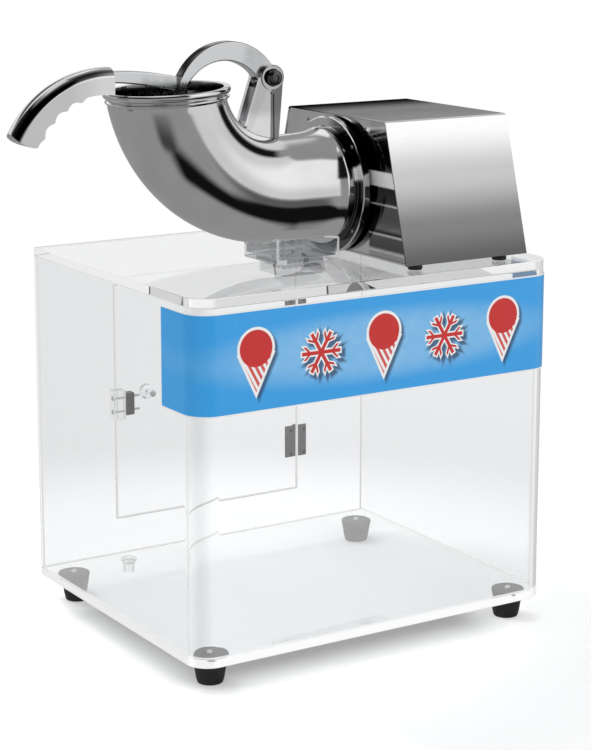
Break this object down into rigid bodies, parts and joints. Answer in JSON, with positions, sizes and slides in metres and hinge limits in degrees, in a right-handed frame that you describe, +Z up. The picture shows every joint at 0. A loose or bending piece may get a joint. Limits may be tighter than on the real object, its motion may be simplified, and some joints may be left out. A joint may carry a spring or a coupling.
{
  "type": "snow cone machine",
  "caption": "Electric snow cone machine: polished elbow hopper with a hand press lever, steel motor housing, and a clear cabinet with a back door.",
  "frame": {"origin": "on the surface it stands on, under the middle of the whole machine's box, grip and door knob included", "axes": "+Z up; -Y is the customer's side with the banner; +Y is the operator's side with the door; +X is from the hopper towards the motor housing"},
  "size_m": [0.5525, 0.3724, 0.6266],
  "materials": {
    "clear_acrylic": "clear, polished edges",
    "polished_steel": "mirror polished stainless",
    "cast_aluminium": "polished casting",
    "zinc_steel": "zinc plated",
    "cutter_steel": "ground",
    "black_rubber": "moulded",
    "black_plastic": "fine matt",
    "blue_print": "printed film",
    "motor_enamel": "baked enamel"
  },
  "bodies": {
    "cabinet": {"back_panel": "clear_acrylic", "banner": "blue_print", "base_plate": "clear_acrylic", "catch_screw_lower": "zinc_steel", "catch_screw_upper": "zinc_steel", "cord_gland": "black_plastic", "door_stop_block": "clear_acrylic", "drain_spout": "clear_acrylic", "elbow_hopper": "polished_steel", "foot_back_left": "black_rubber", "foot_back_right": "black_rubber", "foot_front_left": "black_rubber", "foot_front_right": "black_rubber", "foot_screw_back_left": "zinc_steel", "foot_screw_back_right": "zinc_steel", "foot_screw_front_left": "zinc_steel", "foot_screw_front_right": "zinc_steel", "hinge_panel_leaf_lower": "zinc_steel", "hinge_panel_leaf_upper": "zinc_steel", "hinge_pin_lower": "zinc_steel", "hinge_pin_upper": "zinc_steel", "housing_cover": "polished_steel", "housing_floor": "polished_steel", "housing_left_end": "polished_steel", "housing_pad_back_left": "black_rubber", "housing_pad_back_right": "black_rubber", "housing_pad_front_left": "black_rubber", "housing_pad_front_right": "black_rubber", "housing_right_end": "polished_steel", "ice_chute": "clear_acrylic", "lever_bracket": "cast_aluminium", "lid_plate": "clear_acrylic", "magnet_catch": "black_plastic", "main_flange": "polished_steel", "motor_can": "motor_enamel", "motor_front_bell": "cast_aluminium", "motor_mount": "motor_enamel", "motor_rear_bell": "cast_aluminium", "pivot_bolt": "zinc_steel", "pivot_nut": "zinc_steel", "shaft_bearing": "cutter_steel", "shaft_seal": "black_rubber", "switch_body": "black_plastic", "wrap_panel": "clear_acrylic"},
    "lever": {"press_lever": "cast_aluminium", "lever_grip": "polished_steel", "pusher_head": "cast_aluminium", "pusher_screw": "zinc_steel"},
    "door": {"door": "clear_acrylic", "door_knob": "clear_acrylic", "knob_screw": "zinc_steel", "hinge_door_leaf_lower": "zinc_steel", "hinge_door_leaf_upper": "zinc_steel", "strike_plate": "zinc_steel"},
    "cutter": {"cutter_disc": "cutter_steel", "cutter_blade_front": "cutter_steel", "cutter_blade_back": "cutter_steel", "cutter_nut": "cutter_steel", "rotor_shaft": "cutter_steel"},
    "rocker": {"switch_rocker": "black_plastic"}
  },
  "joints": [
    {"name": "lever_pivot", "type": "hinge", "parent": "cabinet", "child": "lever", "pos_m": [0.01381, -0.0341, 0.5883], "axis": [0, 1, 0], "range_deg": [0, 95]},
    {"name": "door_hinge", "type": "hinge", "parent": "cabinet", "child": "door", "pos_m": [0.17641, 0.1742, 0.2105], "axis": [0, 0, -1], "range_deg": [0, 110]},
    {"name": "cutter_spin", "type": "hinge", "parent": "cabinet", "child": "cutter", "pos_m": [0.01331, -0.0341, 0.471], "axis": [1, 0, 0], "continuous": true},
    {"name": "switch_rock", "type": "hinge", "parent": "cabinet", "child": "rocker", "pos_m": [0.17631, 0.0748, 0.47242], "axis": [1, 0, 0], "range_deg": [0, 16]}
  ]
}
